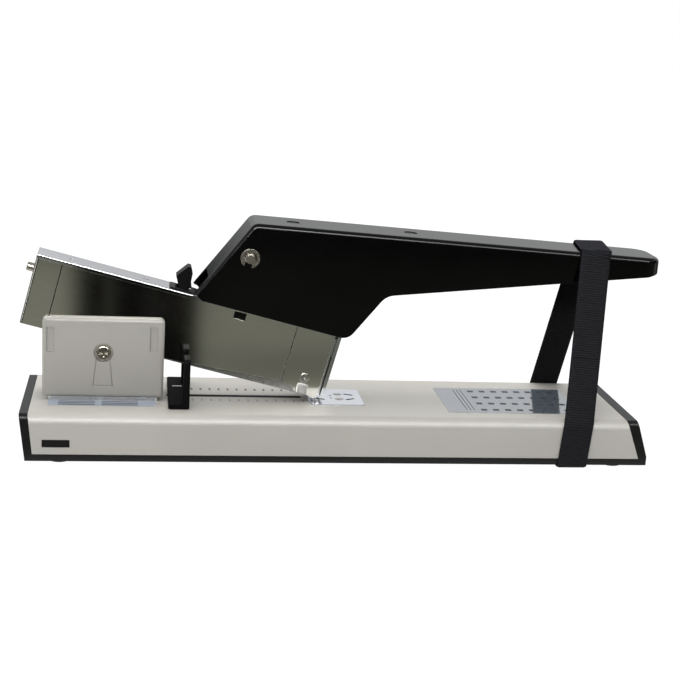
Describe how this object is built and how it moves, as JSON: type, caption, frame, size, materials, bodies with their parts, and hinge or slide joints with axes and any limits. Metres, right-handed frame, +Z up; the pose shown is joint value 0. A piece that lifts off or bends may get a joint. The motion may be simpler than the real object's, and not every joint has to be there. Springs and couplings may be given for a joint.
{
  "type": "stapler",
  "caption": "Long-lever heavy-duty desk stapler: bright steel magazine head and black handle hinged on a beige covered base, with depth guide, anvil and an elastic hold-down strap.",
  "frame": {"origin": "on the floor under the middle of the bounding box, Z 0 at the bottom of the feet", "axes": "+X along the stapler from its rear axle to the handle tip, +Y across to the far side, +Z up"},
  "size_m": [0.3442, 0.0768, 0.1253],
  "materials": {
    "black_tray": "fine grained moulding",
    "beige_paint": "satin powder coat",
    "beige_plastic": "satin moulding",
    "foot_rubber": "matte",
    "zinc_steel": "plated",
    "anvil_steel": "bright ground",
    "bright_steel": "bright",
    "spring_steel": "drawn wire",
    "chrome_shell": "polished",
    "black_handle": "gloss enamel",
    "black_plastic": "semi gloss",
    "black_elastic": "woven ribs"
  },
  "bodies": {
    "base": {"base_tray": "black_tray", "base_cover": "beige_paint", "rubber_feet": "foot_rubber", "tray_screws": "zinc_steel", "bracket_stand": "zinc_steel", "anvil_stand": "zinc_steel", "anvil_plate": "anvil_steel", "anvil_screws": "anvil_steel", "pivot_bracket": "zinc_steel", "bracket_screws": "zinc_steel", "pivot_axle": "bright_steel", "side_cover_near": "beige_plastic", "side_cover_far": "beige_plastic", "cover_screws": "bright_steel", "head_lift_spring": "spring_steel", "elastic_strap": "black_elastic"},
    "guide": {"paper_guide": "black_plastic", "guide_slider": "black_plastic", "guide_screw": "zinc_steel"},
    "head": {"magazine_housing": "chrome_shell", "top_plate": "chrome_shell", "hinge_frame": "zinc_steel", "hinge_bushes": "bright_steel", "staple_channel": "chrome_shell", "staple_core": "chrome_shell", "staple_strip": "bright_steel", "nose_housing": "chrome_shell", "nose_rivets": "bright_steel", "front_plate": "chrome_shell", "latch_bezel": "black_plastic", "latch_pin": "bright_steel", "handle_bracket": "zinc_steel", "bracket_rivets": "zinc_steel", "pin_spacers": "zinc_steel", "handle_pin": "bright_steel", "pin_clips": "bright_steel", "handle_return_spring": "spring_steel"},
    "follower": {"follower_cap": "chrome_shell", "follower_rod": "zinc_steel", "pusher_spring": "spring_steel"},
    "pusher": {"staple_pusher": "zinc_steel"},
    "latch": {"latch_lever": "black_plastic"},
    "handle": {"handle_shell": "black_handle", "drive_bracket": "zinc_steel", "handle_rivets": "bright_steel", "drive_pin": "bright_steel"},
    "driver": {"driver_carrier": "zinc_steel", "driver_blade": "bright_steel", "driver_rivets": "zinc_steel"}
  },
  "joints": [
    {"name": "head_pivot", "type": "hinge", "parent": "base", "child": "head", "pos_m": [-0.12859, 0, 0.0535], "axis": [0, -1, 0], "range_deg": [0, 15], "deforming": ["elastic_strap"]},
    {"name": "handle_pivot", "type": "hinge", "parent": "head", "child": "handle", "pos_m": [-0.05372, 0, 0.10719], "axis": [0, -1, 0], "range_deg": [0, 30], "deforming": ["elastic_strap"]},
    {"name": "driver_slide", "type": "slide", "parent": "head", "child": "driver", "axis": [0.2385, 0, 0.9711], "range_m": [0, 0.03]},
    {"name": "follower_slide", "type": "slide", "parent": "head", "child": "follower", "axis": [-0.9711, 0, 0.2385], "range_m": [0, 0.025]},
    {"name": "pusher_slide", "type": "slide", "parent": "follower", "child": "pusher", "axis": [-0.9711, 0, 0.2385], "range_m": [0, 0.015], "stiffness_N_per_m": 60, "springref_m": -0.02, "deforming": ["pusher_spring"]},
    {"name": "latch_tilt", "type": "hinge", "parent": "head", "child": "latch", "pos_m": [-0.08845, 0, 0.08277], "axis": [0, -1, 0], "range_deg": [0, 12], "stiffness_Nm_per_rad": 0.03, "springref_deg": -11.46},
    {"name": "guide_slide", "type": "slide", "parent": "base", "child": "guide", "axis": [1, 0, 0], "range_m": [0, 0.05]}
  ],
  "couplings": [
    {"joint": "driver_slide", "follows": "handle_pivot", "m_per_rad": 0.0569}
  ]
}
